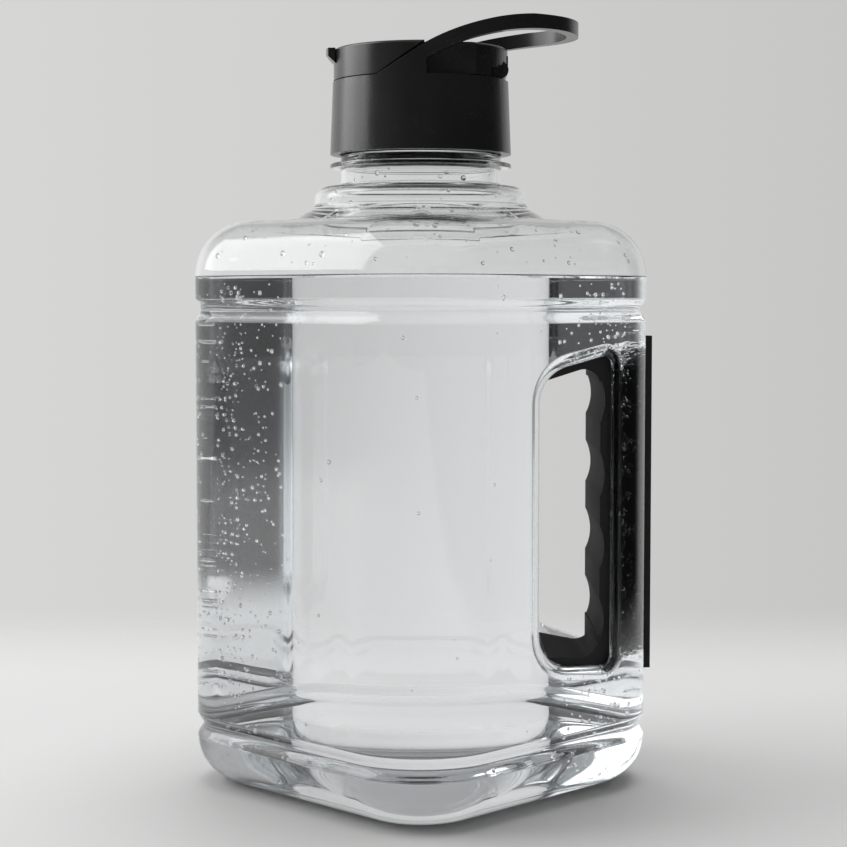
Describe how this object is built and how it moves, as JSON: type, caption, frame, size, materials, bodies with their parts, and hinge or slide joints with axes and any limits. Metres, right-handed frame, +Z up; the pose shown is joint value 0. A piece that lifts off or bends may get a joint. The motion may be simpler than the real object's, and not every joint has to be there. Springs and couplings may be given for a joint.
{
  "type": "square water jug with flip-lid cap",
  "caption": "Clear square drinking jug with a corner handle and soft grip, and a black screw cap with a hinged flip lid, spout and carry loop.",
  "frame": {"origin": "on the neck's axis, in the plane that the jug stands on", "axes": "+Z up along the neck, +X towards the handle corner and the carry loop, so the four flat sides stand at 45 degrees to X and Y"},
  "size_m": [0.1427, 0.1402, 0.2356],
  "materials": {
    "clear_plastic": "polished clear",
    "grip_rubber": "satin",
    "cap_plastic": "fine satin",
    "insert_plastic": "satin",
    "spout_rubber": "satin",
    "seal_rubber": "translucent silicone",
    "pin_steel": "drawn"
  },
  "bodies": {
    "jug": {"bottle_body": "clear_plastic", "handle_grip": "grip_rubber"},
    "seal": {"neck_gasket": "seal_rubber"},
    "cap": {"cap_shell": "cap_plastic", "cap_insert": "insert_plastic", "spout": "spout_rubber", "hinge_pin": "pin_steel"},
    "lid": {"flip_lid": "cap_plastic", "lid_plug": "seal_rubber"}
  },
  "joints": [
    {"name": "cap_lift", "type": "slide", "parent": "jug", "child": "seal", "axis": [0, 0, 1], "range_m": [0, 0.0053]},
    {"name": "cap_turn", "type": "hinge", "parent": "seal", "child": "cap", "pos_m": [0, 0, 0.2095], "axis": [0, 0, 1], "range_deg": [0, 450]},
    {"name": "lid_hinge", "type": "hinge", "parent": "cap", "child": "lid", "pos_m": [0.02425, 0, 0.22065], "axis": [0, 1, 0], "range_deg": [0, 85]}
  ],
  "couplings": [
    {"joint": "cap_lift", "follows": "cap_turn", "m_per_rad": 0.00066845}
  ]
}
